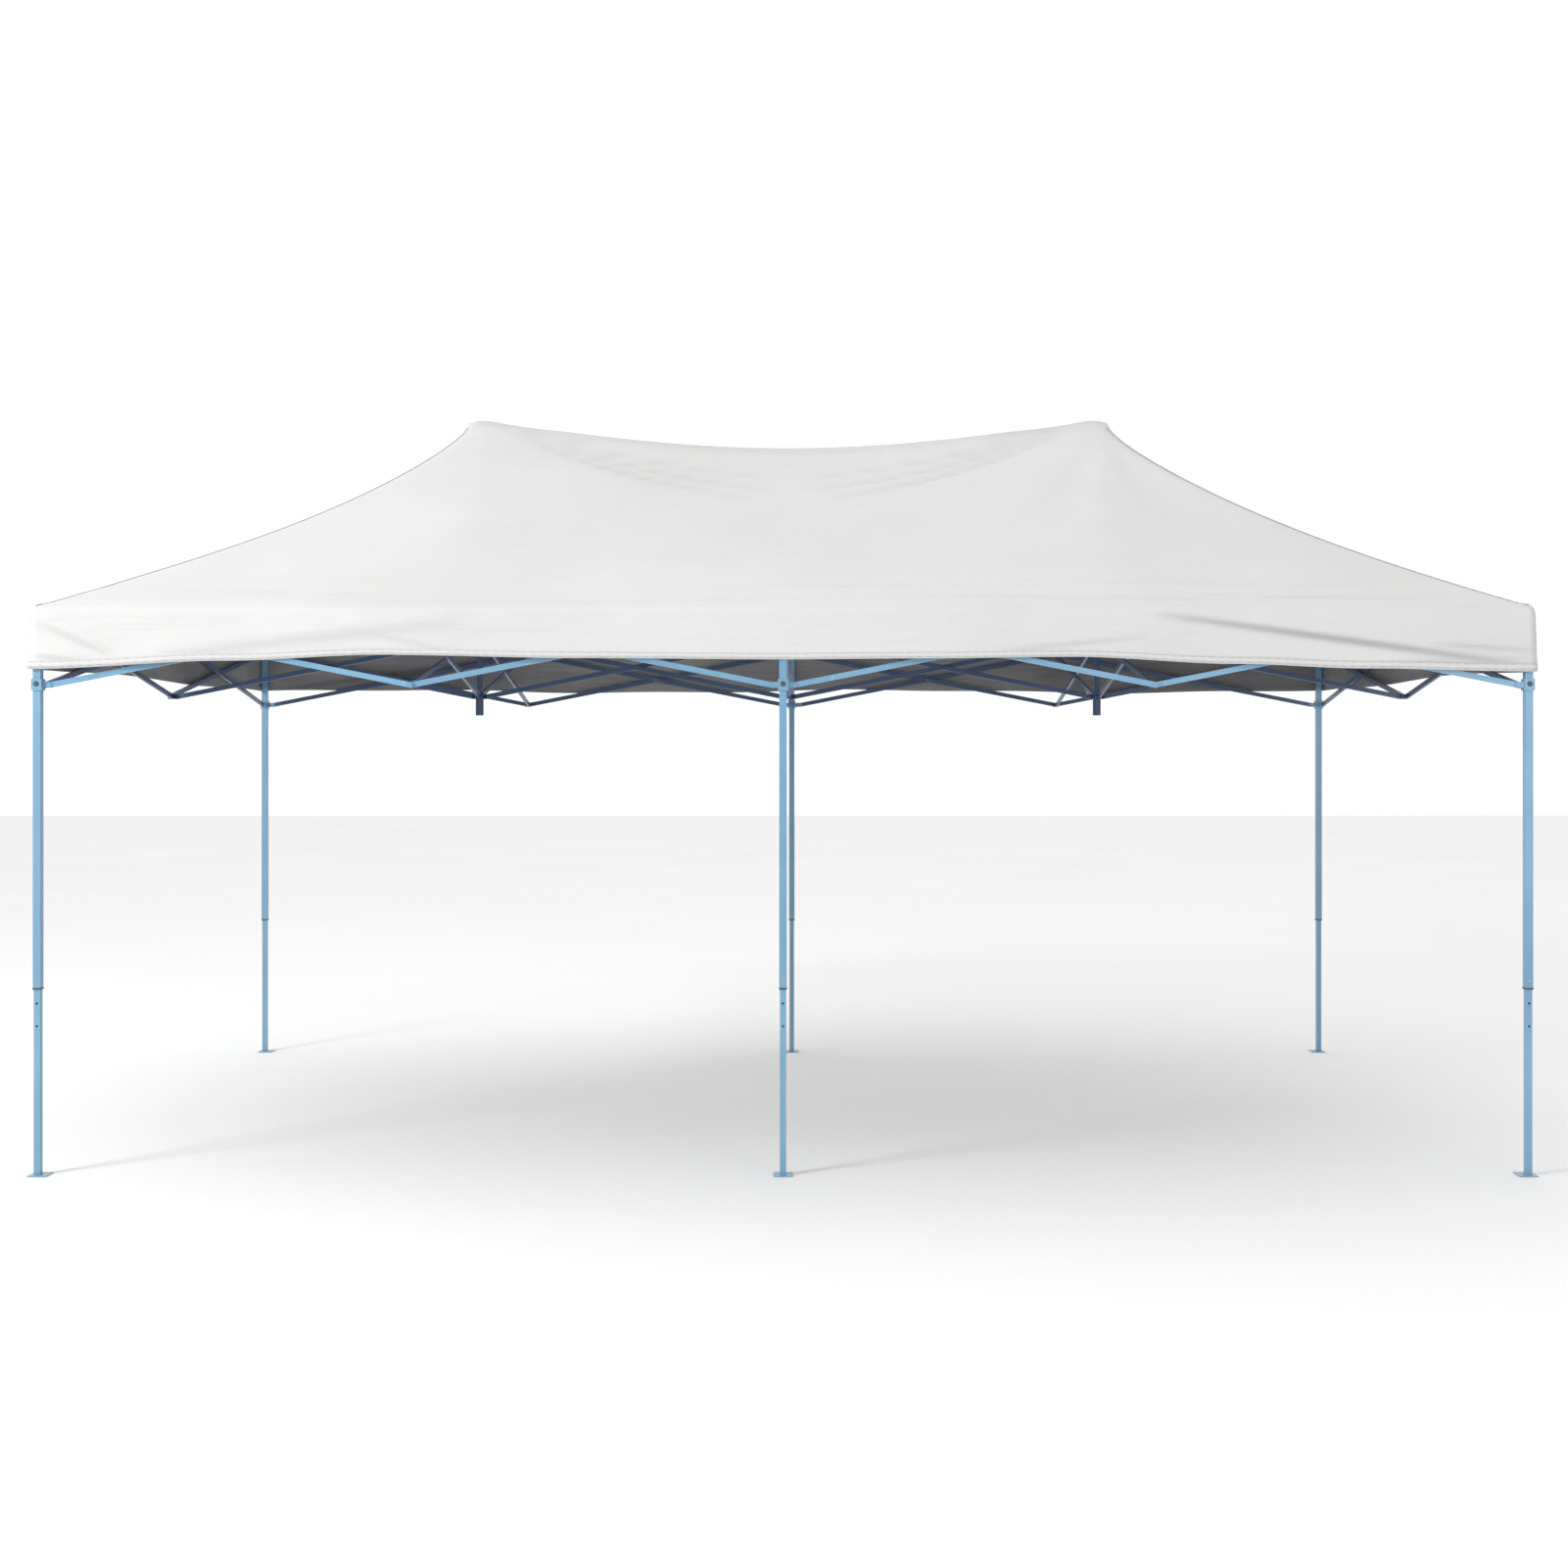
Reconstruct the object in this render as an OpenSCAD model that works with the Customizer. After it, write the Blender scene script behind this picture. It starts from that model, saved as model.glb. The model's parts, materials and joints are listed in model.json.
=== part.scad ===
// Folding canopy for a market stall: six telescoping legs, scissor trusses on
// a grid of half bays, two centre poles and one sewn cover with two peaks.
// X runs along the length, Y runs from front to back, Z is up from the ground.

/* [Grid] */
// Distance between leg centres along the length
bay_length = 2950; // [2800:10:3000]
// Height of the upper truss pins above the ground
upper_pin_z = 2220; // [2180:5:2250]
// Height between the upper and the lower pins of an open truss
truss_height = 280; // [250:5:300]

/* [Legs] */
// Width of the square outer leg tube
outer_leg = 30; // [28:1:32]
// Width of the square inner leg tube
inner_leg = 25; // [22:0.5:25]
// Wall thickness of both leg tubes
leg_wall = 1.2; // [1:0.1:1.4]
// Height of the outer leg's lower end above the ground
outer_leg_bottom = 742; // [720:2:742]
// Length of the inner leg tube
inner_leg_length = 1250; // [1150:10:1300]
// Width of the square foot plate
foot_width = 75; // [70:1:80]
// How far the foot plate stands off its leg towards the middle of the canopy
foot_offset = 9; // [0:1:12]
// Thickness of the foot plate
foot_thickness = 3; // [3:0.5:4]
// Diameter of the two stake holes in each foot plate
stake_hole = 9; // [8:0.5:10]

/* [Truss bars] */
// Height of a truss bar's section
bar_height = 22; // [20:1:22]
// Thickness of a truss bar's section
bar_thickness = 12; // [10:0.5:12]
// Wall thickness of a truss bar
bar_wall = 1; // [0.8:0.1:1.2]
// Distance from the leg centre to the pins along the length
leg_ear_x = 45; // [43:1:48]
// Distance from the leg centre to the pins along the width
leg_ear_y = 64; // [64:1:66]
// Radius of the pivot pins
pin_radius = 4; // [3:0.5:4.5]

/* [Centre poles] */
// Diameter of a centre pole
pole_diameter = 28; // [25:1:30]
// Height of a centre pole's lower end
pole_bottom = 1850; // [1830:5:1870]
// Distance from the pole's axis to its pins
hub_ear = 32; // [32:1:34]

/* [Cover] */
// Height of the cover's eave
eave_z = 2250; // [2245:1:2260]
// Height of the two peaks
peak_z = 3250; // [3150:10:3300]
// Height of the ridge half way between the peaks
ridge_z = 3120; // [3050:10:3150]
// Height of the valance's lower edge
valance_bottom = 2000; // [1980:5:2010]
// Thickness of the cover's closed solid
cover_thickness = 1.5; // [1.5:0.5:2.5]
// Gap between the legs' outer faces and the cover
cover_gap = 6; // [6:1:8]

/* [Hidden] */
clearance = 0.3;
pin_clearance = 0.05;
plate = 3;
head_radius = 6.5;
head_height = 2.5;
// Overlap that makes two shapes one, and how far a cut reaches past a face
join = 0.01;
cut = 1;
// How far a fork's root goes into the block it stands on
bite = 0.5;
window_height = 28;
window_radius = 5;
lock_hole_radius = 4.5;
lock_hole_step = 90;
leg_cap = 2;
// Distance of a stake hole from the leg's line, as a share of the foot's width
stake_share = 0.34;
ear_radius = 11.5;
slider_width = 40;
slider_up = 24;
slider_down = 22;
connector_offset = leg_ear_y - hub_ear;
run = bay_length / 2 - leg_ear_x;
bar_length = sqrt(run * run + truss_height * truss_height);
bar_angle = atan(truss_height / run);
half_depth = run + leg_ear_y;
lower_pin_z = upper_pin_z - truss_height;
bar_offset = bar_thickness / 2 + clearance;
stack = bar_thickness + 2 * clearance;
cover_half_x = bay_length + outer_leg / 2 + cover_gap;
cover_half_y = half_depth + outer_leg / 2 + cover_gap;
peak_flat = 50;
hip_sag = 0.3;
paint = [0.60, 0.76, 0.87];
shaft_paint = [0.55, 0.70, 0.82];
fabric = [0.93, 0.93, 0.93];

// One row for each leg: name, column from -1 to 1, side from -1 (front) to 1 (back)
LEGS = [for (j = [-1, 1]) for (i = [-1 : 1])
    [str(j < 0 ? "front" : "back", "_", ["left", "centre", "right"][i + 1]), i, j]];

// One row for each scissor pair: name, direction, then for a pair along X its number
// from the left and its side, and for a pair along Y its column from -2 to 2 and its half
ROW_PAIRS = [for (j = [-1, 1]) for (k = [0 : 3])
    [str(j < 0 ? "front" : "back", "_truss_", k + 1), "x", k, j]];
COLUMN_PAIRS = [for (c = [-2 : 2]) for (m = [-1, 1])
    [str(["left_end", "left_cross", "centre", "right_cross", "right_end"][c + 2],
        "_truss_", m < 0 ? "front" : "back"), "y", c, m]];
PAIRS = concat(ROW_PAIRS, COLUMN_PAIRS);

module square_tube(width, wall, length) {
    difference() {
        translate([-width / 2, -width / 2, 0]) cube([width, width, length]);
        translate([wall - width / 2, wall - width / 2, -cut])
            cube([width - 2 * wall, width - 2 * wall, length + 2 * cut]);
    }
}

// A rod along Y between two places
module rod_y(radius, y0, y1) {
    translate([0, y0, 0]) rotate([-90, 0, 0]) cylinder(r = radius, h = y1 - y0, $fn = 48);
}

// A pin along Y through both plates of a fork, with a head outside each plate
module headed_pin(y0, y1) {
    rod_y(pin_radius, y0 - head_height, y1 + head_height);
    rod_y(head_radius, y0 - head_height, y0 + join);
    rod_y(head_radius, y1 - join, y1 + head_height);
}

// A fork that reaches along X from root_x to its pin, round a bar on one side of Y
module fork(root_x, pin_x, side) {
    near = side > 0 ? -plate : 0;
    far = side > 0 ? stack : -stack - plate;
    for (y = [near, far]) {
        translate([root_x, y, -ear_radius]) cube([pin_x - root_x, plate, 2 * ear_radius]);
        translate([pin_x, 0, 0]) rod_y(ear_radius, y, y + plate);
    }
    translate([pin_x, 0, 0]) headed_pin(min(near, far), max(near, far) + plate);
}

// The forks of a leg's top bracket or slider. The bars that fall to the right or
// to the back keep the negative side, and the rising bars keep the positive side.
module leg_forks(column, side, upper) {
    right_side = upper ? -1 : 1;
    root = upper ? outer_leg / 2 : slider_width / 2 - bite;
    if (column < 1) fork(root, leg_ear_x, right_side);
    if (column > -1) mirror([1, 0, 0]) fork(root, leg_ear_x, -right_side);
    if (side < 0) rotate(90) fork(root, leg_ear_y, upper ? -1 : 1);
    else rotate(-90) fork(root, leg_ear_y, upper ? -1 : 1);
}

module outer_leg_at(leg) {
    top = upper_pin_z + ear_radius;
    color(paint) translate([leg[1] * bay_length, leg[2] * half_depth, 0]) {
        difference() {
            translate([0, 0, outer_leg_bottom])
                square_tube(outer_leg, leg_wall, top - outer_leg_bottom);
            translate([0, 0, outer_leg_bottom + window_height])
                rod_y(window_radius, leg[2] < 0 ? -outer_leg : 0, leg[2] < 0 ? 0 : outer_leg);
        }
        translate([-outer_leg / 2, -outer_leg / 2, top - join]) cube([outer_leg, outer_leg, leg_cap]);
        translate([0, 0, upper_pin_z]) leg_forks(leg[1], leg[2], true);
    }
}

module inner_leg_at(leg) {
    inward = -leg[1] * foot_offset;
    first_hole = outer_leg_bottom + window_height;
    color(shaft_paint) translate([leg[1] * bay_length, leg[2] * half_depth, 0]) {
        difference() {
            translate([0, 0, foot_thickness - join])
                square_tube(inner_leg, leg_wall, inner_leg_length);
            for (k = [-2 : 0]) translate([0, 0, first_hole + k * lock_hole_step])
                rod_y(lock_hole_radius, leg[2] < 0 ? -inner_leg : 0, leg[2] < 0 ? 0 : inner_leg);
        }
        difference() {
            translate([inward - foot_width / 2, -foot_width / 2, 0])
                cube([foot_width, foot_width, foot_thickness]);
            for (s = [-1, 1]) translate([inward, s * foot_width * stake_share, -cut])
                cylinder(d = stake_hole, h = foot_thickness + 2 * cut, $fn = 48);
        }
    }
}

module slider_at(leg) {
    inside = outer_leg + 2 * clearance;
    color(paint) translate([leg[1] * bay_length, leg[2] * half_depth, lower_pin_z]) {
        difference() {
            translate([-slider_width / 2, -slider_width / 2, -slider_down])
                cube([slider_width, slider_width, slider_up + slider_down]);
            translate([-inside / 2, -inside / 2, -slider_down - cut])
                cube([inside, inside, slider_up + slider_down + 2 * cut]);
        }
        leg_forks(leg[1], leg[2], false);
    }
}

// A centre pole: tube, lower hub block with two forks along Y and a domed cap
module centre_pole(side) {
    pole_wall = 1.5;
    hub_radius = 19;
    hub_bore = pole_diameter - 1;
    hub_height = lower_pin_z + slider_down - pole_bottom;
    hub_root = 0.7 * hub_radius;
    cap_air = 1;
    cap_radius = 17;
    cap_thickness = 12;
    top = peak_z - cover_thickness - cap_thickness - cap_air;
    color(paint) translate([side * bay_length / 2, 0, 0]) {
        difference() {
            translate([0, 0, pole_bottom]) cylinder(d = pole_diameter, h = top - pole_bottom, $fn = 64);
            translate([0, 0, pole_bottom - cut])
                cylinder(d = pole_diameter - 2 * pole_wall, h = top - pole_bottom + 2 * cut, $fn = 64);
        }
        difference() {
            translate([0, 0, pole_bottom]) cylinder(r = hub_radius, h = hub_height, $fn = 64);
            translate([0, 0, pole_bottom - cut])
                cylinder(d = hub_bore, h = hub_height + 2 * cut, $fn = 64);
        }
        translate([0, 0, lower_pin_z]) {
            rotate(-90) fork(hub_root, hub_ear, 1);
            rotate(90) fork(hub_root, hub_ear, 1);
        }
        translate([0, 0, top - join]) rotate_extrude($fn = 64) intersection() {
            translate([0, cap_thickness - 2 * cap_radius]) circle(r = 2 * cap_radius, $fn = 96);
            square([cap_radius, cap_thickness]);
        }
    }
}

// The bracket that carries a cross truss on the lower pin of the front trusses
module lower_connector(side) {
    color(paint) translate([side * bay_length / 2, -half_depth, lower_pin_z]) {
        difference() {
            translate([-stack - plate, stack + clearance, -ear_radius])
                cube([stack + 2 * plate + ear_radius, plate, 2 * ear_radius]);
            rod_y(pin_radius + pin_clearance, 0, 2 * stack);
        }
        rotate(90) fork(stack + clearance + plate - bite, connector_offset, 1);
    }
}

// The four way bracket over the middle of the centre truss, which holds its pin
module centre_bracket() {
    over = ear_radius + plate;
    reach = stack + clearance;
    color(paint) translate([0, 0, upper_pin_z]) {
        for (s = [-1, 1]) {
            translate([s > 0 ? reach : -reach - plate, -ear_radius, -ear_radius])
                cube([plate, 2 * ear_radius, ear_radius + over]);
            mirror([s < 0 ? 1 : 0, 0, 0]) fork(reach + plate - bite, connector_offset, -s);
        }
        translate([-reach - plate, -ear_radius, over - join])
            cube([2 * (reach + plate), 2 * ear_radius, plate]);
        rotate(90) rod_y(pin_radius, -reach - cut, reach + cut);
    }
}

// What a bar has at a pivot: "hole", "pin" with a head or "long_pin" for a connector
function end_kind(pair, falling, far_end) =
    pair[1] == "x" ? row_end(pair[2], pair[3], falling, far_end)
                   : column_end(pair[2], pair[3], falling, far_end);
function row_end(k, j, falling, far_end) =
    let (at_leg = (k % 2 == 0) != far_end)
    at_leg || !falling ? "hole" : (j < 0 && far_end ? "long_pin" : "pin");
function column_end(c, m, falling, far_end) =
    let (at_middle = (m < 0) == far_end, at_pole = c == -1 || c == 1)
    !at_middle || at_pole || !falling ? "hole" : (c == 0 && m > 0 ? "hole" : "pin");

// A hollow bar along X with its middle pivot at the origin, on one side of the
// truss plane. The falling bars carry the pins and the rising bars the holes.
module bar(falling, start, end) {
    y = falling ? -bar_offset : bar_offset;
    half = bar_length / 2;
    // Solid length at each end and on both sides of the middle pivot
    closed = 14;
    // Half of the side view's outline at one end: a chamfered corner
    tip = [half + bar_height / 2, bar_height / 4];
    shoulder = [half + bar_height / 4, bar_height / 2];
    difference() {
        translate([0, y + bar_thickness / 2, 0]) rotate([90, 0, 0]) linear_extrude(bar_thickness)
            polygon([-tip, [-shoulder[0], -shoulder[1]], [shoulder[0], -shoulder[1]], [tip[0], -tip[1]],
                tip, shoulder, [-shoulder[0], shoulder[1]], [-tip[0], tip[1]]]);
        for (x = [closed - half, closed])
            translate([x, y - bar_thickness / 2 + bar_wall, bar_wall - bar_height / 2])
                cube([half - 2 * closed, bar_thickness - 2 * bar_wall, bar_height - 2 * bar_wall]);
        if (!falling) rod_y(pin_radius + pin_clearance, 0, 2 * stack);
        for (e = [[-half, start], [half, end]]) if (e[1] == "hole")
            translate([e[0], 0, 0]) rod_y(pin_radius + pin_clearance, -2 * stack, 2 * stack);
    }
    if (falling) {
        bar_pin("pin");
        for (e = [[-half, start], [half, end]]) if (e[1] != "hole")
            translate([e[0], 0, 0]) bar_pin(e[1]);
    }
}

// A pin of a falling bar, which goes through the rising bar beside it
module bar_pin(kind) {
    near = -stack - join + clearance;
    rod_y(pin_radius, near, kind == "pin" ? stack + clearance + head_height : stack + plate - clearance);
    rod_y(head_radius, near - head_height, near + join);
    if (kind == "pin") rod_y(head_radius, stack + clearance, stack + clearance + head_height);
}

// One of the two bars of a pair, in its place. A pair along Y is turned about Z.
module truss_bar(pair, falling) {
    along_x = pair[1] == "x";
    leg_shift = (pair[2] % 2 == 0 ? 1 : -1) * leg_ear_x / 2;
    from_pole = pair[2] == -1 || pair[2] == 1 ? hub_ear : 0;
    middle = along_x
        ? [bay_length / 2 * (pair[2] - 1.5) + leg_shift, pair[3] * half_depth]
        : [bay_length / 2 * pair[2], pair[3] * (from_pole + run / 2)];
    color(paint) translate([middle[0], middle[1], (upper_pin_z + lower_pin_z) / 2])
        rotate(along_x ? 0 : 90) rotate([0, falling ? bar_angle : -bar_angle, 0])
            bar(falling, end_kind(pair, falling, false), end_kind(pair, falling, true));
}

// Height of the cover over a place: straight hips with a sag, steeper near the peaks
function rise(x, y) =
    let (u = (cover_half_y - abs(y)) / (cover_half_y - peak_flat),
         v = (cover_half_x - abs(x)) / (cover_half_x - bay_length / 2 - peak_flat),
         t = min(1, u, v),
         inside = max(0, 1 - abs(x) / (bay_length / 2 - peak_flat)),
         crest = peak_z - (peak_z - ridge_z) * sin(90 * inside))
    eave_z + (crest - eave_z) * (t - hip_sag * t * sqrt(1 - t));

// Grid lines from the rim to the flat of a peak, then to the middle of the ridge
hip_steps = 12;
ridge_steps = 8;
OUTER_XS = [for (k = [0 : hip_steps])
    cover_half_x + (bay_length / 2 + peak_flat - cover_half_x) * k / hip_steps];
INNER_XS = [for (k = [0 : ridge_steps - 1]) (bay_length / 2 - peak_flat) * (1 - k / ridge_steps)];
RIGHT_XS = concat(OUTER_XS, INNER_XS);
FRONT_YS = [for (k = [0 : hip_steps]) cover_half_y + (peak_flat - cover_half_y) * k / hip_steps];
COVER_XS = concat([for (x = RIGHT_XS) -x], [0], [for (k = [len(RIGHT_XS) - 1 : -1 : 0]) RIGHT_XS[k]]);
COVER_YS = concat([for (y = FRONT_YS) -y], [for (k = [hip_steps : -1 : 0]) FRONT_YS[k]]);

// The cover: one closed sheet, domed over the frame, with a valance all round
module canopy_cover() {
    nx = len(COVER_XS);
    ny = len(COVER_YS);
    top = [for (y = COVER_YS) for (x = COVER_XS) [x, y, rise(x, y)]];
    under = [for (p = top) [p[0] * (1 - cover_thickness / cover_half_x),
        p[1] * (1 - cover_thickness / cover_half_y), p[2] - cover_thickness]];
    rim = concat([for (i = [0 : nx - 1]) i], [for (j = [1 : ny - 1]) j * nx + nx - 1],
        [for (i = [nx - 2 : -1 : 0]) (ny - 1) * nx + i], [for (j = [ny - 2 : -1 : 1]) j * nx]);
    n = len(rim);
    hem_out = [for (r = rim) [top[r][0], top[r][1], valance_bottom]];
    hem_in = [for (r = rim) [under[r][0], under[r][1], valance_bottom]];
    points = concat(top, under, hem_out, hem_in);
    base = nx * ny;
    // The diagonal of each cell follows the hips
    sheet = [for (j = [0 : ny - 2]) for (i = [0 : nx - 2])
        let (a = j * nx + i, b = a + 1, c = a + nx, d = c + 1,
            falls = (COVER_XS[i] + COVER_XS[i + 1]) * (COVER_YS[j] + COVER_YS[j + 1]) > 0)
        each (falls ? [[a, c, d], [a, d, b]] : [[a, c, b], [b, c, d]])];
    lining = [for (t = sheet) [t[0] + base, t[2] + base, t[1] + base]];
    skirt = [for (k = [0 : n - 1])
        let (l = (k + 1) % n, o = 2 * base, q = 2 * base + n,
            a = rim[k], b = rim[l]) each [
            [a, b, o + k], [b, o + l, o + k],
            [o + k, o + l, q + k], [o + l, q + l, q + k],
            [q + k, q + l, base + a], [q + l, base + b, base + a]]];
    color(fabric) polyhedron(points, concat(sheet, lining, skirt));
}

canopy_cover();
centre_bracket();
for (leg = LEGS) {
    outer_leg_at(leg);
    inner_leg_at(leg);
    slider_at(leg);
}
centre_pole(-1);  // centre_pole_left
centre_pole(1);  // centre_pole_right
lower_connector(-1);  // lower_connector_left
lower_connector(1);  // lower_connector_right
for (pair = PAIRS) {
    truss_bar(pair, true);
    truss_bar(pair, false);
}
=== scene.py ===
"""Pop up canopy: a sewn cover, its seams and hems, and the small frame parts round the CAD frame."""
import json
import math

import bpy
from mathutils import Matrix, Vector

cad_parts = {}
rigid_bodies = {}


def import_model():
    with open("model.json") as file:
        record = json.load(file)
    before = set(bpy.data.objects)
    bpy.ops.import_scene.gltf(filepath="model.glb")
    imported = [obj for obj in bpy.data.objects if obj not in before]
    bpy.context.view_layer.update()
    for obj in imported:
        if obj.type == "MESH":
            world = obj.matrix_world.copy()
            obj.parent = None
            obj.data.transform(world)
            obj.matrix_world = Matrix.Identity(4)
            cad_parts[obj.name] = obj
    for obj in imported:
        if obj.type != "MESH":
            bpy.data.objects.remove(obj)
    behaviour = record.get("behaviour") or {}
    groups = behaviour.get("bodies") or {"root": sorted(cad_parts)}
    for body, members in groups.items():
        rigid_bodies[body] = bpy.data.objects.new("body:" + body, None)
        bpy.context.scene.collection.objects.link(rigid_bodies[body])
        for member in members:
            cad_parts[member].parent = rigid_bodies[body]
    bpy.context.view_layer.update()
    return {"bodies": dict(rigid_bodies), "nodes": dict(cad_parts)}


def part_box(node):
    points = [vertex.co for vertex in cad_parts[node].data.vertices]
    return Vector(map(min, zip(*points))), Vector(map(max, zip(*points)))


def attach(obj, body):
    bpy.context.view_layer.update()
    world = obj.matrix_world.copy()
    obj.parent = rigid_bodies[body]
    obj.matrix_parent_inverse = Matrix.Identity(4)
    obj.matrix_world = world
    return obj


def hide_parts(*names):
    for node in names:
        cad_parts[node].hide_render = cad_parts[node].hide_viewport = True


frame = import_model()

# ---------------------------------------------------------------- driving sizes, metres
cover_low, cover_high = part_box("canopy_cover")
HALF_X, HALF_Y = cover_high[0], cover_high[1]      # the cover's rim
EAVE_Z, PEAK_Z, HEM_Z = 2.250, cover_high[2], cover_low[2]
RIDGE_Z = 3.120
PEAK_FLAT = 0.050                                  # half width of the flat over a pole cap
BAY_X, ROW_Y = 2.950, 1.494                        # leg centres
POLE_X = BAY_X / 2
UPPER_Z, LOWER_Z = 2.220, 1.940                    # truss pins
LEG_EAR, HUB_EAR, BRACKET_EAR = 0.045, 0.032, 0.032
BAR_HIGH, BAR_THICK = 0.022, 0.012
BAR_SIDE = BAR_THICK / 2 + 0.0003
LEG_HALF = 0.015
OUTER_LEG_END = 0.742
CLOTH_THICK = 0.0008
TAU = 2 * math.pi


# ---------------------------------------------------------------- small helpers
def mesh_object(name, vertices, faces, smooth=True):
    mesh = bpy.data.meshes.new(name)
    mesh.from_pydata([tuple(v) for v in vertices], [], [tuple(f) for f in faces])
    mesh.validate()
    mesh.update()
    for polygon in mesh.polygons:
        polygon.use_smooth = smooth
    obj = bpy.data.objects.new(name, mesh)
    bpy.context.scene.collection.objects.link(obj)
    return obj


def bevelled(obj, width):
    bevel = obj.modifiers.new("edges", "BEVEL")
    bevel.width = width
    bevel.segments = 2
    bevel.limit_method = "ANGLE"
    bevel.harden_normals = False
    return obj


def box_mesh(low, high):
    """Corners and faces of a box, for joining several into one mesh."""
    xs, ys, zs = zip(low, high)
    points = [(x, y, z) for z in zs for y in ys for x in xs]
    faces = [(0, 2, 3, 1), (4, 5, 7, 6), (0, 1, 5, 4), (2, 6, 7, 3), (0, 4, 6, 2), (1, 3, 7, 5)]
    return points, faces


def round_mesh(centre, axis, radius, length, sides=24):
    """Corners and faces of a closed rod about axis ("x", "y" or "z"), starting at centre."""
    points, faces = [], []
    for end in (0, length):
        for k in range(sides):
            a, b = radius * math.cos(TAU * k / sides), radius * math.sin(TAU * k / sides)
            offset = {"x": (end, a, b), "y": (b, end, a), "z": (a, b, end)}[axis]
            points.append(tuple(c + o for c, o in zip(centre, offset)))
    for k in range(sides):
        n = (k + 1) % sides
        faces.append((k, n, sides + n, sides + k))
    faces.append(tuple(reversed(range(sides))))
    faces.append(tuple(range(sides, 2 * sides)))
    return points, faces


def join_meshes(parts):
    points, faces = [], []
    for p, f in parts:
        faces += [tuple(i + len(points) for i in face) for face in f]
        points += p
    return points, faces


# ---------------------------------------------------------------- how things follow the fold
# The four corner legs carry what moves along X and Y, and the two poles what drops as well.
CORNERS = {(-1, -1): "outer_leg_front_left", (1, -1): "outer_leg_front_right",
           (-1, 1): "outer_leg_back_left", (1, 1): "outer_leg_back_right"}
POLES = {-1: "centre_pole_left", 1: "centre_pole_right"}


def hook_weights(share_x, share_y, drop):
    """Weights that move a point by its share of the legs' way in and of the poles' drop."""
    side = max(-1.0, min(1.0, 2 * share_x))
    weights = {}
    for s, name in POLES.items():
        weights[name] = drop * (1 + s * side) / 2
    rest_x = share_x - drop * side / 2
    for (i, j), name in CORNERS.items():
        weights[name] = (1 + i * rest_x) / 2 * (1 + j * share_y) / 2
    return weights


def follow_fold(obj, shares):
    """Hooks obj to the legs and poles. shares gives each vertex's (share_x, share_y, drop)."""
    groups = {}
    for name in [*CORNERS.values(), *POLES.values()]:
        groups[name] = obj.vertex_groups.new(name=name)
    for vertex, share in zip(obj.data.vertices, shares):
        for name, weight in hook_weights(*share).items():
            if weight > 1e-5:
                groups[name].add([vertex.index], min(1.0, weight), "REPLACE")
    for name in groups:
        hook = obj.modifiers.new("hook " + name, "HOOK")
        hook.object = frame["bodies"][name]
        hook.vertex_group = name
        hook.falloff_type = "NONE"
    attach(obj, "frame_centre")
    return obj


# ---------------------------------------------------------------- materials
def new_material(name):
    material = bpy.data.materials.new(name)
    material.use_nodes = True
    nodes = material.node_tree.nodes
    return material, nodes, material.node_tree.links, nodes["Principled BSDF"]


def noise(nodes, links, scale, detail=4.0, stretch=(1, 1, 1)):
    coords = nodes.new("ShaderNodeTexCoord")
    mapping = nodes.new("ShaderNodeMapping")
    mapping.inputs["Scale"].default_value = stretch
    texture = nodes.new("ShaderNodeTexNoise")
    texture.inputs["Scale"].default_value = scale
    texture.inputs["Detail"].default_value = detail
    links.new(coords.outputs["Object"], mapping.inputs["Vector"])
    links.new(mapping.outputs["Vector"], texture.inputs["Vector"])
    return texture.outputs["Fac"]


def ramp(nodes, links, value, stops):
    node = nodes.new("ShaderNodeValToRGB")
    elements = node.color_ramp.elements
    while len(elements) < len(stops):
        elements.new(0.5)
    for element, (place, colour) in zip(elements, stops):
        element.position = place
        element.color = (*colour, 1)
    links.new(value, node.inputs["Fac"])
    return node.outputs["Color"]


def spread(nodes, links, value, low, high):
    node = nodes.new("ShaderNodeMapRange")
    node.inputs["To Min"].default_value = low
    node.inputs["To Max"].default_value = high
    links.new(value, node.inputs["Value"])
    return node.outputs["Result"]


def bump(nodes, links, height, strength, distance, shader):
    node = nodes.new("ShaderNodeBump")
    node.inputs["Strength"].default_value = strength
    node.inputs["Distance"].default_value = distance
    links.new(height, node.inputs["Height"])
    before = shader.inputs["Normal"].links
    if before:
        links.new(before[0].from_socket, node.inputs["Normal"])
    links.new(node.outputs["Normal"], shader.inputs["Normal"])


def paint_material(name, light, dark, rough=(0.32, 0.5)):
    """Satin powder coat on steel: soft colour drift, orange peel and faint rubbed streaks."""
    material, nodes, links, shader = new_material(name)
    drift = noise(nodes, links, 3.0, 5.0)
    base = ramp(nodes, links, drift, [(0.3, dark), (0.7, light)])
    rubbed = noise(nodes, links, 9.0, 8.0, (6, 6, 0.6))
    mask = ramp(nodes, links, rubbed, [(0.66, (0, 0, 0)), (0.76, (0.35, 0.35, 0.35))])
    mix = nodes.new("ShaderNodeMix")
    mix.data_type = "RGBA"
    links.new(mask, mix.inputs["Factor"])
    links.new(base, mix.inputs["A"])
    mix.inputs["B"].default_value = (*[min(1, c * 1.5 + 0.06) for c in light], 1)
    links.new(mix.outputs["Result"], shader.inputs["Base Color"])
    links.new(spread(nodes, links, rubbed, *rough), shader.inputs["Roughness"])
    shader.inputs["Coat Weight"].default_value = 0.25
    shader.inputs["Coat Roughness"].default_value = 0.25
    bump(nodes, links, noise(nodes, links, 900.0, 2.0), 0.12, 0.0004, shader)
    return material


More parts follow.
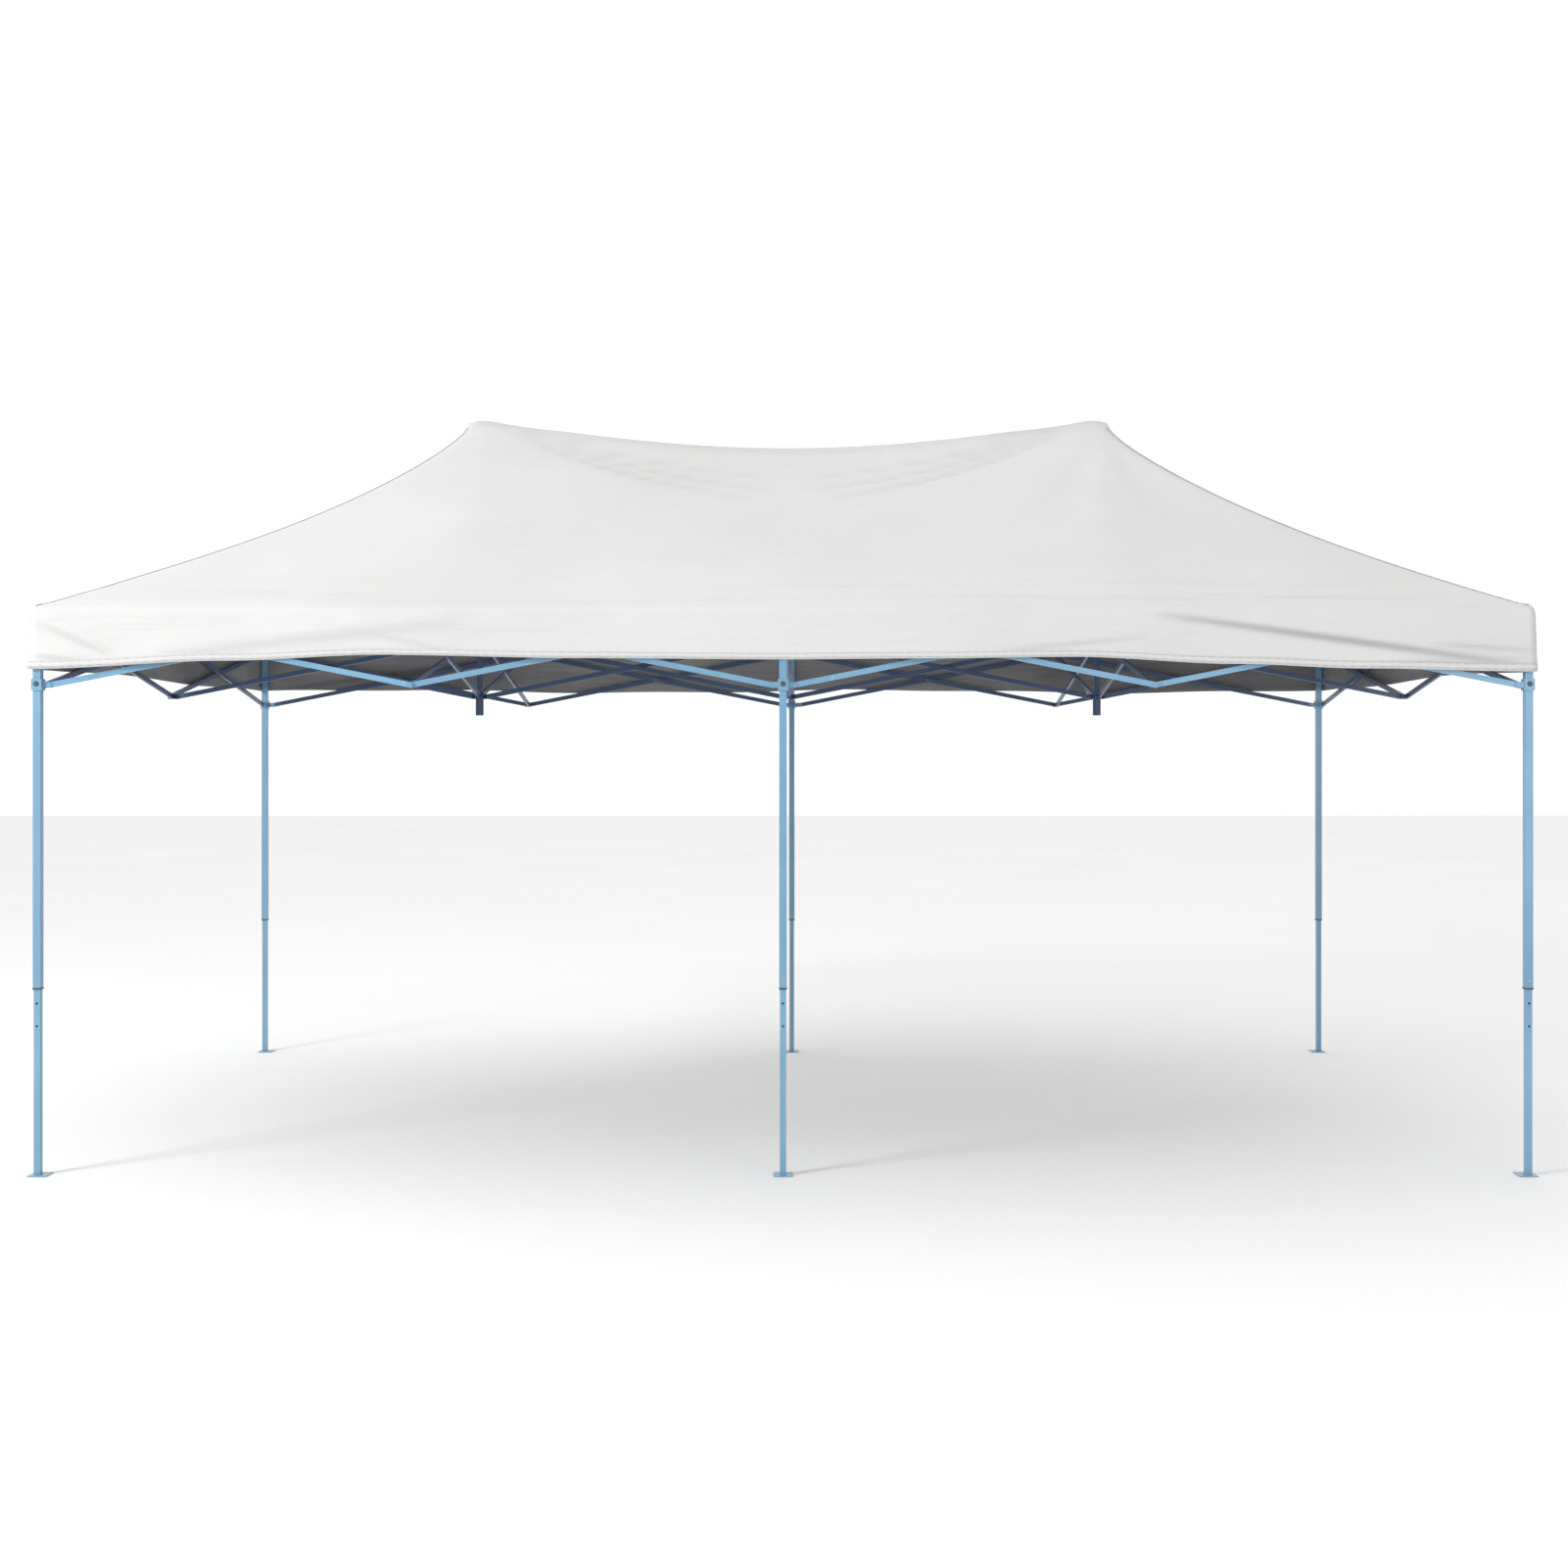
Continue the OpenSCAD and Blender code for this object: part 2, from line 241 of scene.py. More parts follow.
def weave_height(nodes, links, pitch):
    """Over and under threads along X/Y and Z, from two crossed waves."""
    coords = nodes.new("ShaderNodeTexCoord")
    total = None
    for direction in ("X", "Y", "Z"):
        wave = nodes.new("ShaderNodeTexWave")
        wave.bands_direction = direction
        wave.inputs["Scale"].default_value = 0.314 / pitch
        wave.inputs["Distortion"].default_value = 0.4
        links.new(coords.outputs["Object"], wave.inputs["Vector"])
        if total is None:
            total = wave.outputs["Fac"]
        else:
            add = nodes.new("ShaderNodeMath")
            links.new(total, add.inputs[0])
            links.new(wave.outputs["Fac"], add.inputs[1])
            total = add.outputs[0]
    return total


def cloth_material(name, light, dark, rough, sheen, wrinkle):
    """Coated polyester: weave, packing creases and slight soiling, and painted shade that darkens the folds.
    """
    material, nodes, links, shader = new_material(name)
    soil = noise(nodes, links, 0.9, 6.0)
    base = ramp(nodes, links, soil, [(0.35, dark), (0.62, light)])
    fold = nodes.new("ShaderNodeAttribute")
    fold.attribute_name = "fold"
    shade_darkened = nodes.new("ShaderNodeMix")
    shade_darkened.data_type = "RGBA"
    links.new(fold.outputs["Fac"], shade_darkened.inputs["Factor"])
    links.new(base, shade_darkened.inputs["A"])
    # Painted shade: where the fold attribute is high the colour goes down to 0.62 of the dark tone.
    shade_darkened.inputs["B"].default_value = (*[c * 0.62 for c in dark], 1)
    links.new(shade_darkened.outputs["Result"], shader.inputs["Base Color"])
    links.new(spread(nodes, links, soil, rough - 0.06, rough + 0.08), shader.inputs["Roughness"])
    shader.inputs["Sheen Weight"].default_value = sheen
    shader.inputs["Sheen Roughness"].default_value = 0.5
    bump(nodes, links, weave_height(nodes, links, 0.0012), 0.25, 0.0003, shader)
    bump(nodes, links, noise(nodes, links, 5.0, 9.0, (0.6, 1.4, 3.0)), wrinkle, 0.010, shader)
    bump(nodes, links, noise(nodes, links, 1.6, 7.0, (0.35, 1.6, 4.0)), wrinkle, 0.030, shader)
    return material


def thread_material():
    """Seam tape with two rows of stitches, from the strip's own UV map."""
    material, nodes, links, shader = new_material("seam_tape")
    uv = nodes.new("ShaderNodeUVMap")
    uv.uv_map = "strip"
    split = nodes.new("ShaderNodeSeparateXYZ")
    links.new(uv.outputs["UV"], split.inputs["Vector"])

    def math_node(kind, a, b):
        node = nodes.new("ShaderNodeMath")
        node.operation = kind
        for socket, value in zip(node.inputs, (a, b)):
            if isinstance(value, (int, float)):
                socket.default_value = value
            else:
                links.new(value, socket)
        return node.outputs[0]

    across = math_node("ABSOLUTE", math_node("SUBTRACT", split.outputs["Y"], 0.5), 0)
    row = math_node("LESS_THAN", math_node("ABSOLUTE", math_node("SUBTRACT", across, 0.34), 0), 0.05)
    along = math_node("FRACT", math_node("MULTIPLY", split.outputs["X"], 160.0), 0)
    dash = math_node("LESS_THAN", along, 0.62)
    stitch = math_node("MULTIPLY", row, dash)
    colour = ramp(nodes, links, stitch, [(0.0, (0.615, 0.615, 0.61)), (1.0, (0.50, 0.50, 0.50))])
    links.new(colour, shader.inputs["Base Color"])
    links.new(spread(nodes, links, stitch, 0.55, 0.8), shader.inputs["Roughness"])
    shader.inputs["Sheen Weight"].default_value = 0.1
    bump(nodes, links, weave_height(nodes, links, 0.0012), 0.3, 0.0003, shader)
    bump(nodes, links, stitch, 0.6, 0.0006, shader)
    return material


def metal_material():
    """Zinc-plated fasteners, slightly dulled."""
    material, nodes, links, shader = new_material("zinc")
    spots = noise(nodes, links, 60.0, 6.0)
    links.new(ramp(nodes, links, spots, [(0.3, (0.36, 0.37, 0.38)), (0.7, (0.6, 0.61, 0.62))]),
              shader.inputs["Base Color"])
    shader.inputs["Metallic"].default_value = 1.0
    links.new(spread(nodes, links, spots, 0.25, 0.5), shader.inputs["Roughness"])
    return material


def plastic_material(name, dark, light):
    material, nodes, links, shader = new_material(name)
    grain = noise(nodes, links, 220.0, 3.0)
    links.new(ramp(nodes, links, grain, [(0.3, dark), (0.7, light)]), shader.inputs["Base Color"])
    links.new(spread(nodes, links, grain, 0.42, 0.6), shader.inputs["Roughness"])
    bump(nodes, links, grain, 0.15, 0.0004, shader)
    return material


PAINT = paint_material("frame_paint", (0.185, 0.365, 0.52), (0.14, 0.30, 0.455))
# A darker copy of the frame paint for the parts in the cover's shade: painted shade.
SHADE_PAINT = paint_material("frame_paint_in_shade", (0.045, 0.085, 0.18), (0.028, 0.055, 0.125))
INNER_PAINT = paint_material("inner_leg_paint", (0.195, 0.375, 0.525), (0.15, 0.31, 0.46))
COVER = cloth_material("cover_outside", (0.645, 0.645, 0.645), (0.605, 0.605, 0.60), 0.62, 0.08, 0.7)
LINING = cloth_material("cover_inside", (0.26, 0.26, 0.265), (0.15, 0.15, 0.155), 0.7, 0.05, 0.9)
TAPE = thread_material()
ZINC = metal_material()
PLASTIC = plastic_material("grey_plastic", (0.05, 0.06, 0.08), (0.09, 0.10, 0.12))

for node_name, node_object in frame["nodes"].items():
    if node_name == "canopy_cover":
        continue
    node_object.data.materials.clear()
    # Painted shade: bars other than the front truss bars, the poles, connectors and brackets get the darker
    # copy of the paint.
    shaded = node_name.endswith("_bar") and not node_name.startswith("front_truss")
    shaded = shaded or "pole" in node_name or "connector" in node_name or "bracket" in node_name
    kind = INNER_PAINT if node_name.startswith("inner") else SHADE_PAINT if shaded else PAINT
    node_object.data.materials.append(kind)


# ---------------------------------------------------------------- the cover's shape
HIP_STEPS, RIDGE_STEPS, SKIRT_ROWS = 56, 52, 22
EAVE_INSET = 0.008                                 # how far the rounded eave starts inside the rim
EAVE_ROUND = 0.14                                  # share of the valance that the rounded eave takes up
HIP_SAG, EXTRA_SAG = 0.3, 0.012
# Creases from a peak: where each ends (x, distance from the ridge), its depth and width
TENSION_LINES = [(0.02, 0.30, 0.013, 0.020), (0.12, 0.38, 0.010, 0.018), (0.34, 0.33, 0.007, 0.015),
                 (0.05, 0.20, 0.007, 0.014)]
# Creases of the front valance: start and end as (x, z), height, width and how much painted shade they get
VALANCE_CREASES = [((1.46, 2.222), (2.96, 2.012), 0.026, 0.012, 0.95),
                   ((-2.50, 2.05), (-1.25, 2.19), 0.010, 0.022, 0.25),
                   ((-2.95, 2.19), (-2.66, 2.06), 0.010, 0.010, 0.45),
                   ((2.55, 2.10), (2.96, 2.075), 0.008, 0.008, 0.5),
                   ((-2.97, 2.06), (-2.75, 2.03), 0.006, 0.008, 0.4),
                   ((2.40, 2.03), (2.95, 2.045), 0.006, 0.008, 0.35),
                   ((0.85, 2.075), (1.45, 2.13), 0.006, 0.010, 0.3),
                   ((-1.75, 2.17), (-1.30, 2.07), 0.006, 0.012, 0.25)]
# Long folds over the front eave: ends along X, distance in from the rim, depth
EAVE_FOLDS = [(-2.2, 0.3, 0.09, 0.006), (0.35, 2.1, 0.07, 0.009), (1.5, 2.8, 0.14, 0.010),
              (-2.9, -1.3, 0.16, 0.006), (-0.6, 1.2, 0.20, 0.005), (0.9, 2.4, 0.26, 0.005)]
EAVE_FOLD_WIDTH = 0.022
RIPPLE, RIPPLE_REACH, RIPPLE_COUNT = 0.0132, 0.7, 9     # they fan out from the right peak only
BACK_SHARE = 0.5                                   # the back has the front's creases turned round, and softer
PIN_ROOM = 0.001                                   # the valance may lean in by this much only
# The front valance's lower edge as (x, z)
FRONT_HEM = [(-2.97, 2.002), (-2.2, 2.035), (-1.6, 2.058), (-0.8, 2.045), (0.0, 2.040),
             (0.6, 2.044), (1.15, 2.050), (1.8, 2.022), (2.3, 2.004), (2.97, 1.992)]
PLEATS = 2.2                                       # pleats in each metre of the open cover
FOLD_DROP = 1.1737                                 # how far the lower pins fall when folded
TAPE_LIFT = 0.0018                                 # how far a seam tape's middle stands off the cloth
TAPE_WIDTH, HEM_WIDTH, HEM_DEPTH = 0.022, 0.026, 0.93


def soft_min(a, b, width):
    near = max(width - abs(a - b), 0) / width
    return min(a, b) - near * near * width / 4


def bell(distance, width):
    return math.exp(-(distance / width) ** 2)


def to_line(px, py, start, end):
    """Signed distance of a point to a line piece, and how far along it lies from 0 to 1."""
    ex, ey = end[0] - start[0], end[1] - start[1]
    length = math.hypot(ex, ey)
    along = ((px - start[0]) * ex + (py - start[1]) * ey) / length ** 2
    return ((px - start[0]) * ey - (py - start[1]) * ex) / length, along


def fade(along):
    """1 in the middle of a crease and 0 beyond its ends."""
    return math.sin(math.pi * along) if 0 < along < 1 else 0.0


def between(x, table):
    """A smooth value at x from a table of (x, value)."""
    for (x0, z0), (x1, z1) in zip(table, table[1:]):
        if x <= x1:
            part = max(0.0, (x - x0) / (x1 - x0))
            part = part * part * (3 - 2 * part)
            return z0 + (z1 - z0) * part
    return table[-1][1]


def crease_start(side):
    """Where a peak's creases start, as (x, distance from the ridge)."""
    return side * (POLE_X - 0.08), 0.03


def eave_fold_place(x, up):
    """Distance in from the rim of a long fold, which sways along its length."""
    return up + 0.05 * math.sin(1.7 * x + 3 * up)


def roof_z(x, y):
    """Height of the roof: straight hips with a sag, soft creases and a gentle billow."""
    u = (HALF_Y - abs(y)) / (HALF_Y - PEAK_FLAT)
    v = (HALF_X - abs(x)) / (HALF_X - POLE_X - PEAK_FLAT)
    t = min(1.0, max(0.0, soft_min(u, v, 0.035) if min(u, v) > 0.02 else min(u, v)))
    inside = max(0.0, 1 - abs(x) / (POLE_X - PEAK_FLAT))
    crest = PEAK_Z - (PEAK_Z - RIDGE_Z) * math.sin(math.pi / 2 * inside)
    z = EAVE_Z + (crest - EAVE_Z) * (t - HIP_SAG * t * math.sqrt(1 - t))
    calm = math.sin(math.pi * t)
    z -= EXTRA_SAG * calm * (0.6 + 0.4 * math.sin(2.1 * x + 1.3 * y))
    for side in (-1, 1):
        for end_x, end_y, depth, width in TENSION_LINES:
            away, along = to_line(x, abs(y), crease_start(side), (side * end_x, end_y))
            z -= depth * bell(away, width) * fade(along)
    fold_x = x if y < 0 else -x
    for low_x, high_x, up, depth in EAVE_FOLDS:
        if low_x < fold_x < high_x:
            strength = depth * (1 if y < 0 else BACK_SHARE)
            strength *= fade((fold_x - low_x) / (high_x - low_x))
            z -= strength * bell(HALF_Y - abs(y) - eave_fold_place(fold_x, up), EAVE_FOLD_WIDTH)
    fan = math.atan2(abs(y), abs(abs(x) - POLE_X) + 0.02)
    reach = math.hypot(x - POLE_X, y)
    return z + RIPPLE * calm * bell(reach, RIPPLE_REACH) * math.sin(RIPPLE_COUNT * fan + 1)


def fold_shade_amount(x, y, z):
    """How much painted shade darkens a place of the cover, from 0 to 1."""
    if y > 0.0:
        return BACK_SHARE * fold_shade_amount(-x, -y, z)
    painted_shade = 0.0
    if y < -HALF_Y + 0.03 and z < EAVE_Z + 0.01:
        for start, end, _, width, amount in VALANCE_CREASES:
            away, part = to_line(x, z, start, end)
            painted_shade = max(painted_shade, amount * bell(away, 1.15 * width) * math.sqrt(fade(part)))
        return painted_shade
    for side in (-1, 1):
        for end_x, end_y, _, width in TENSION_LINES:
            away, along = to_line(x, abs(y), crease_start(side), (side * end_x, end_y))
            painted_shade = max(painted_shade, 0.22 * bell(away, 0.8 * width) * math.sqrt(fade(along)))
    for low_x, high_x, up, depth in EAVE_FOLDS:
        along = fade((x - low_x) / (high_x - low_x))
        middle = bell(HALF_Y + y - eave_fold_place(x, up), 0.016)
        painted_shade = max(painted_shade, 18 * depth * middle * math.sqrt(along))
    return painted_shade


def rim_normal(x, y):
    nx = (abs(x) > HALF_X - 1e-6) * math.copysign(1, x)
    ny = (abs(y) > HALF_Y - 1e-6) * math.copysign(1, y)
    return nx, ny


def hem_z(x, y):
    if y < -HALF_Y + 1e-6:
        return between(x, FRONT_HEM)
    if y > HALF_Y - 1e-6:
        return 2.016 + 0.008 * math.sin(2.3 * x + 0.5) + 0.004 * math.sin(6.1 * x)
    blend_in = bell(y + HALF_Y, 0.35)
    corner = between(math.copysign(HALF_X, x), FRONT_HEM)
    return (1 - blend_in) * (2.014 + 0.006 * math.sin(3.7 * y + x)) + blend_in * corner


def lean(x, y, z):
    """How far the valance stands out from its plane."""
    depth = (EAVE_Z - z) / (EAVE_Z - HEM_Z)
    along = x if abs(y) > HALF_Y - 1e-6 else y
    seed = 0.7 * math.copysign(1, y) + 1.9 * math.copysign(1, x) * (along is y)
    waves = 0.0035 * math.sin(3.3 * along + seed) + 0.0015 * math.sin(11.7 * along + 2 * seed)
    out = depth * (0.0035 + waves)
    if abs(y) > HALF_Y - 1e-6:
        share = 1 if y < 0 else BACK_SHARE
        for start, end, height, width, _ in VALANCE_CREASES:
            away, part = to_line(x if y < 0 else -x, z, start, end)
            step = 0.5 - 0.5 * math.tanh(away / width)
            out += share * height * math.sqrt(fade(part)) * step * bell(away, 6 * width)
    return max(out, -PIN_ROOM)


def skirt_point(x, y, depth, lift=0.0):
    """A point of the valance under a rim point. depth runs from 0 at the eave to 1 at the hem."""
    nx, ny = rim_normal(x, y)
    z = EAVE_Z + (hem_z(x, y) - EAVE_Z) * depth
    inset = EAVE_INSET * max(0.0, 1 - depth / EAVE_ROUND) ** 2
    out = lean(x, y, z) - inset + lift
    return x + nx * out, y + ny * out, z


def roof_point(x, y, lift=0.0):
    nx, ny = rim_normal(x, y)
    return x - nx * EAVE_INSET, y - ny * EAVE_INSET, roof_z(x, y) + lift


# ---------------------------------------------------------------- how the cover follows the fold
def cover_share(point):
    """The cloth gathers in pleats: the roof heaps up low over the closed frame."""
    x, y, z = point
    share_x, share_y = x / BAY_X, y / ROW_Y
    drop = 0.0
    if z > EAVE_Z:
        gather = 0.17 + 0.016 * math.sin(TAU * PLEATS * x)
        drop = max(0.0, (z - EAVE_Z) * (1 - gather)) / FOLD_DROP
    over = min(1.0, max(0.0, (EAVE_Z - z) / 0.20))
    pleat = 0.5 + 0.5 * math.sin(TAU * PLEATS * (x if abs(y) > HALF_Y - 0.02 else y))
    if abs(y) > HALF_Y - 0.02 and abs(x) < BAY_X:
        share_y *= 1 - 0.016 * over * pleat
    elif abs(x) > HALF_X - 0.02 and abs(y) < ROW_Y:
        share_x *= 1 - 0.008 * over * pleat
    return max(-1.0, min(1.0, share_x)), max(-1.0, min(1.0, share_y)), drop


def mirror_lines(lines, middle):
    return [-v for v in lines] + middle + [v for v in reversed(lines)]


def steps(start, end, count):
    return [start + (end - start) * k / count for k in range(count + 1)]


OUTER_XS = steps(HALF_X, POLE_X + PEAK_FLAT, HIP_STEPS)
FLAT_XS = steps(POLE_X + PEAK_FLAT, POLE_X - PEAK_FLAT, 4)[1:]
RIDGE_XS = steps(POLE_X - PEAK_FLAT, 0, RIDGE_STEPS)[1:-1]
COVER_XS = mirror_lines(OUTER_XS + FLAT_XS + RIDGE_XS, [0.0])
COVER_YS = mirror_lines(steps(HALF_Y, PEAK_FLAT, HIP_STEPS), [-PEAK_FLAT / 2, 0.0, PEAK_FLAT / 2])


def build_cover():
    nx, ny = len(COVER_XS), len(COVER_YS)
    points = [roof_point(x, y) for y in COVER_YS for x in COVER_XS]
    faces = []
    for j in range(ny - 1):
        for i in range(nx - 1):
            a = j * nx + i
            faces.append((a, a + 1, a + nx + 1, a + nx))
    rim = [(x, COVER_YS[0]) for x in COVER_XS] + [(COVER_XS[-1], y) for y in COVER_YS[1:]]
    rim += [(x, COVER_YS[-1]) for x in COVER_XS[-2::-1]] + [(COVER_XS[0], y) for y in COVER_YS[-2:0:-1]]
    rim_index = list(range(nx)) + [j * nx + nx - 1 for j in range(1, ny)]
    rim_index += [(ny - 1) * nx + i for i in range(nx - 2, -1, -1)] + [j * nx for j in range(ny - 2, 0, -1)]
    rows = [rim_index]
    depths = [0.022, 0.05, 0.09] + [0.09 + 0.91 * k / SKIRT_ROWS for k in range(1, SKIRT_ROWS + 1)]
    for depth in depths:
        rows.append(list(range(len(points), len(points) + len(rim))))
        points += [skirt_point(x, y, depth) for x, y in rim]
    for upper, lower in zip(rows, rows[1:]):
        for k in range(len(rim)):
            n = (k + 1) % len(rim)
            faces.append((upper[n], upper[k], lower[k], lower[n]))
    cover = mesh_object("canopy_cover_cloth", points, faces)
    # The fold attribute holds painted shade along the creases.
    painted_shade = cover.data.attributes.new("fold", "FLOAT", "POINT")
    for vertex in cover.data.vertices:
        painted_shade.data[vertex.index].value = fold_shade_amount(*vertex.co)
    cover.data.materials.append(COVER)
    cover.data.materials.append(LINING)
    follow_fold(cover, [cover_share(v.co) for v in cover.data.vertices])
    thick = cover.modifiers.new("thickness", "SOLIDIFY")
    thick.thickness = CLOTH_THICK
    thick.offset = -1
    thick.material_offset = 1
    return cover


def strip(name, line, across, width, place):
    """A band of cloth along a line of (x, y, depth) places, three points wide."""
    points, faces, seats = [], [], []
    for place_on_line in line:
        for k in (-1, 0, 1):
            points.append(place(place_on_line, across, k * width / 2, TAPE_LIFT))
            seats.append(place(place_on_line, across, k * width / 2, 0.0))
    for n in range(len(line) - 1):
        for k in range(2):
            a = 3 * n + k
            faces.append((a, a + 3, a + 4, a + 1))
    obj = mesh_object(name, points, faces)
    layer = obj.data.uv_layers.new(name="strip")
    for polygon in obj.data.polygons:
        for loop in polygon.loop_indices:
            index = obj.data.loops[loop].vertex_index
            layer.data[loop].uv = (index // 3 / len(line), index % 3 / 2)
    obj.data.materials.append(TAPE)
    # It folds as the cloth right under it does, so that it keeps its lift
    follow_fold(obj, [cover_share(seat) for seat in seats])
    thick = obj.modifiers.new("thickness", "SOLIDIFY")
    thick.thickness = CLOTH_THICK
    thick.offset = 0
    return obj


def on_roof(place, across, offset, lift):
    x, y = place[0] + across[0] * offset, place[1] + across[1] * offset
    x = max(-HALF_X + 0.006, min(HALF_X - 0.006, x))
    y = max(-HALF_Y + 0.006, min(HALF_Y - 0.006, y))
    return x, y, roof_z(x, y) + lift


def on_skirt(place, across, offset, lift):
    x, y, depth = place
    return skirt_point(x, y, depth + offset / (EAVE_Z - HEM_Z), 0.6 * lift)


cover = build_cover()
for sx in (-1, 1):
    for sy in (-1, 1):
        start = (sx * (HALF_X - 0.01), sy * (HALF_Y - 0.01))
        end = (sx * (POLE_X + PEAK_FLAT), sy * PEAK_FLAT)
        line = [(start[0] + (end[0] - start[0]) * k / 120, start[1] + (end[1] - start[1]) * k / 120)
                for k in range(121)]
        name = f"hip_seam_{'front' if sy < 0 else 'back'}_{'left' if sx < 0 else 'right'}"
        strip(name, line, (sx * 0.7, -sy * 0.7), TAPE_WIDTH, on_roof)
ridge = [(-POLE_X + 0.1 + (2 * POLE_X - 0.2) * k / 160, 0.0) for k in range(161)]
strip("ridge_seam", ridge, (0, 1), TAPE_WIDTH, on_roof)
SIDES = {"front": [(x, -HALF_Y) for x in steps(-HALF_X, HALF_X, 440)],
         "right": [(HALF_X, y) for y in steps(-HALF_Y, HALF_Y, 230)],
         "back": [(x, HALF_Y) for x in steps(HALF_X, -HALF_X, 440)],
         "left": [(-HALF_X, y) for y in steps(HALF_Y, -HALF_Y, 230)]}
for side, line in SIDES.items():
    strip(f"hem_{side}", [(x, y, HEM_DEPTH) for x, y in line], None, HEM_WIDTH, on_skirt)
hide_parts("canopy_cover")


# ---------------------------------------------------------------- rigid pieces that follow the fold
STACK = BAR_THICK + 0.0006                         # one bar's layer beside the truss plane
PLATE, EAR_RADIUS, PIN_RADIUS = 0.003, 0.0115, 0.004
HEAD_RADIUS, HEAD_HIGH = 0.0065, 0.0025
CUP_FAR = STACK + 0.0033                           # the inner face of a plate that clears a pin's head
MID_Z = (UPPER_Z + LOWER_Z) / 2
EXTRA_TURN = 0.57 / 75                             # degrees more that an inner bar turns, for each degree


def rigid_follow(obj, share_x, share_y, drop, turn_with=None):
    """Moves the whole obj by one share, and turns it with a CAD bar. The bodies start at the origin."""
    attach(obj, "frame_centre")
    for name, weight in hook_weights(share_x, share_y, drop).items():
        if weight > 1e-5:
            follow = obj.constraints.new("COPY_LOCATION")
            follow.target = frame["bodies"][name]
            follow.use_offset = True
            follow.influence = min(1.0, weight)
    if turn_with:
        # The inner bars are a little shorter than the bar they copy, so they turn a little further
        for mix, influence in (("REPLACE", 1.0), ("ADD", EXTRA_TURN)):
            turn = obj.constraints.new("COPY_ROTATION")
            turn.target = frame["bodies"][turn_with]
            turn.mix_mode = mix
            turn.influence = influence
    return obj


def placed(name, parts, material, origin=(0, 0, 0), edge=0.0005, smooth=False):
    points, faces = join_meshes(parts)
    obj = mesh_object(name, points, faces, smooth)
    obj.location = origin
    obj.data.materials.append(material)
    if edge:
        bevelled(obj, edge)
    return obj


def turned(part, angle):
    """A part turned about Z by a multiple of a right angle."""
    points, faces = part
    c, s = round(math.cos(angle)), round(math.sin(angle))
    return [(c * x - s * y, s * x + c * y, z) for x, y, z in points], faces


def fork_parts(root, reach, side, angle):
    """Two plates with round ends and a headed pin, along X before it is turned."""
    near = -PLATE if side > 0 else 0.0
    far = STACK if side > 0 else -STACK - PLATE
    parts = []
    for y in (near, far):
        parts.append(box_mesh((root, y, -EAR_RADIUS), (reach, y + PLATE, EAR_RADIUS)))
        parts.append(round_mesh((reach, y, 0), "y", EAR_RADIUS, PLATE))
    low, high = min(near, far), max(near, far) + PLATE
    parts.append(round_mesh((reach, low - HEAD_HIGH, 0), "y", PIN_RADIUS, high - low + 2 * HEAD_HIGH, 20))
    parts.append(round_mesh((reach, low - HEAD_HIGH, 0), "y", HEAD_RADIUS, HEAD_HIGH, 20))
    parts.append(round_mesh((reach, high, 0), "y", HEAD_RADIUS, HEAD_HIGH, 20))
    return [turned(part, angle) for part in parts]


def ring_part(x, inner, outer, length, sides=24):
    """A ring about X that starts at x."""
    points, faces = [], []
    for end, radius in ((0, outer), (length, outer), (length, inner), (0, inner)):
        for k in range(sides):
            a = TAU * k / sides
            points.append((x + end, radius * math.cos(a), radius * math.sin(a)))
    for ring in range(4):
        for k in range(sides):
            n, after = (k + 1) % sides, (ring + 1) % 4
            faces.append((ring * sides + k, after * sides + k, after * sides + n, ring * sides + n))
    return points, faces


def cup_fork(side, angle):
    """A plate that sits over a pin's head on a ring, with a fork on its outer face."""
    plate = box_mesh((CUP_FAR, -STACK - PLATE, -EAR_RADIUS), (CUP_FAR + PLATE, STACK + PLATE, EAR_RADIUS))
    ring = ring_part(STACK + 0.0004, HEAD_RADIUS + 0.0004, 0.009, CUP_FAR - STACK - 0.0004)
    parts = [turned(plate, angle), turned(ring, angle)]
    return parts + fork_parts(CUP_FAR + PLATE - 0.0005, BRACKET_EAR, side, angle)


# Each row: name, grid place (columns of half a bay, rows), upper or lower, arms as (angle, side)
HALF_TURN, QUARTER = math.pi, math.pi / 2
CONNECTORS = []
for column, label in ((-1, "left"), (1, "right")):
    CONNECTORS.append((f"upper_connector_front_{label}", column, -1, True, [(QUARTER, -1)]))
    CONNECTORS.append((f"upper_connector_back_{label}", column, 1, True, [(-QUARTER, -1)]))
    CONNECTORS.append((f"lower_connector_back_{label}", column, 1, False, [(-QUARTER, 1)]))
    inward = HALF_TURN if column > 0 else 0.0
    CONNECTORS.append((f"end_connector_upper_{label}", 2 * column, 0, True, [(inward, -1)]))
    CONNECTORS.append((f"end_connector_lower_{label}", 2 * column, 0, False, [(inward, 1)]))
CONNECTORS.append(("centre_lower_connector", 0, 0, False, [(0.0, 1), (HALF_TURN, 1)]))
# The connectors take the darker copy of the paint: painted shade.
for name, column, row, upper, arms in CONNECTORS:
    parts = [part for angle, side in arms for part in cup_fork(side, angle)]
    if len(arms) == 2:
        under = -EAR_RADIUS - 0.004
        parts.append(box_mesh((-CUP_FAR - PLATE, -EAR_RADIUS, under - PLATE),
                              (CUP_FAR + PLATE, EAR_RADIUS, under)))
        for x in (-CUP_FAR - PLATE, CUP_FAR):
            parts.append(box_mesh((x, -EAR_RADIUS, under), (x + PLATE, EAR_RADIUS, -EAR_RADIUS)))
    where = (column * POLE_X, row * ROW_Y, UPPER_Z if upper else LOWER_Z)
    connector = placed(name, parts, SHADE_PAINT, where)
    rigid_follow(connector, column / 2, row, 0.0 if upper else 1.0)

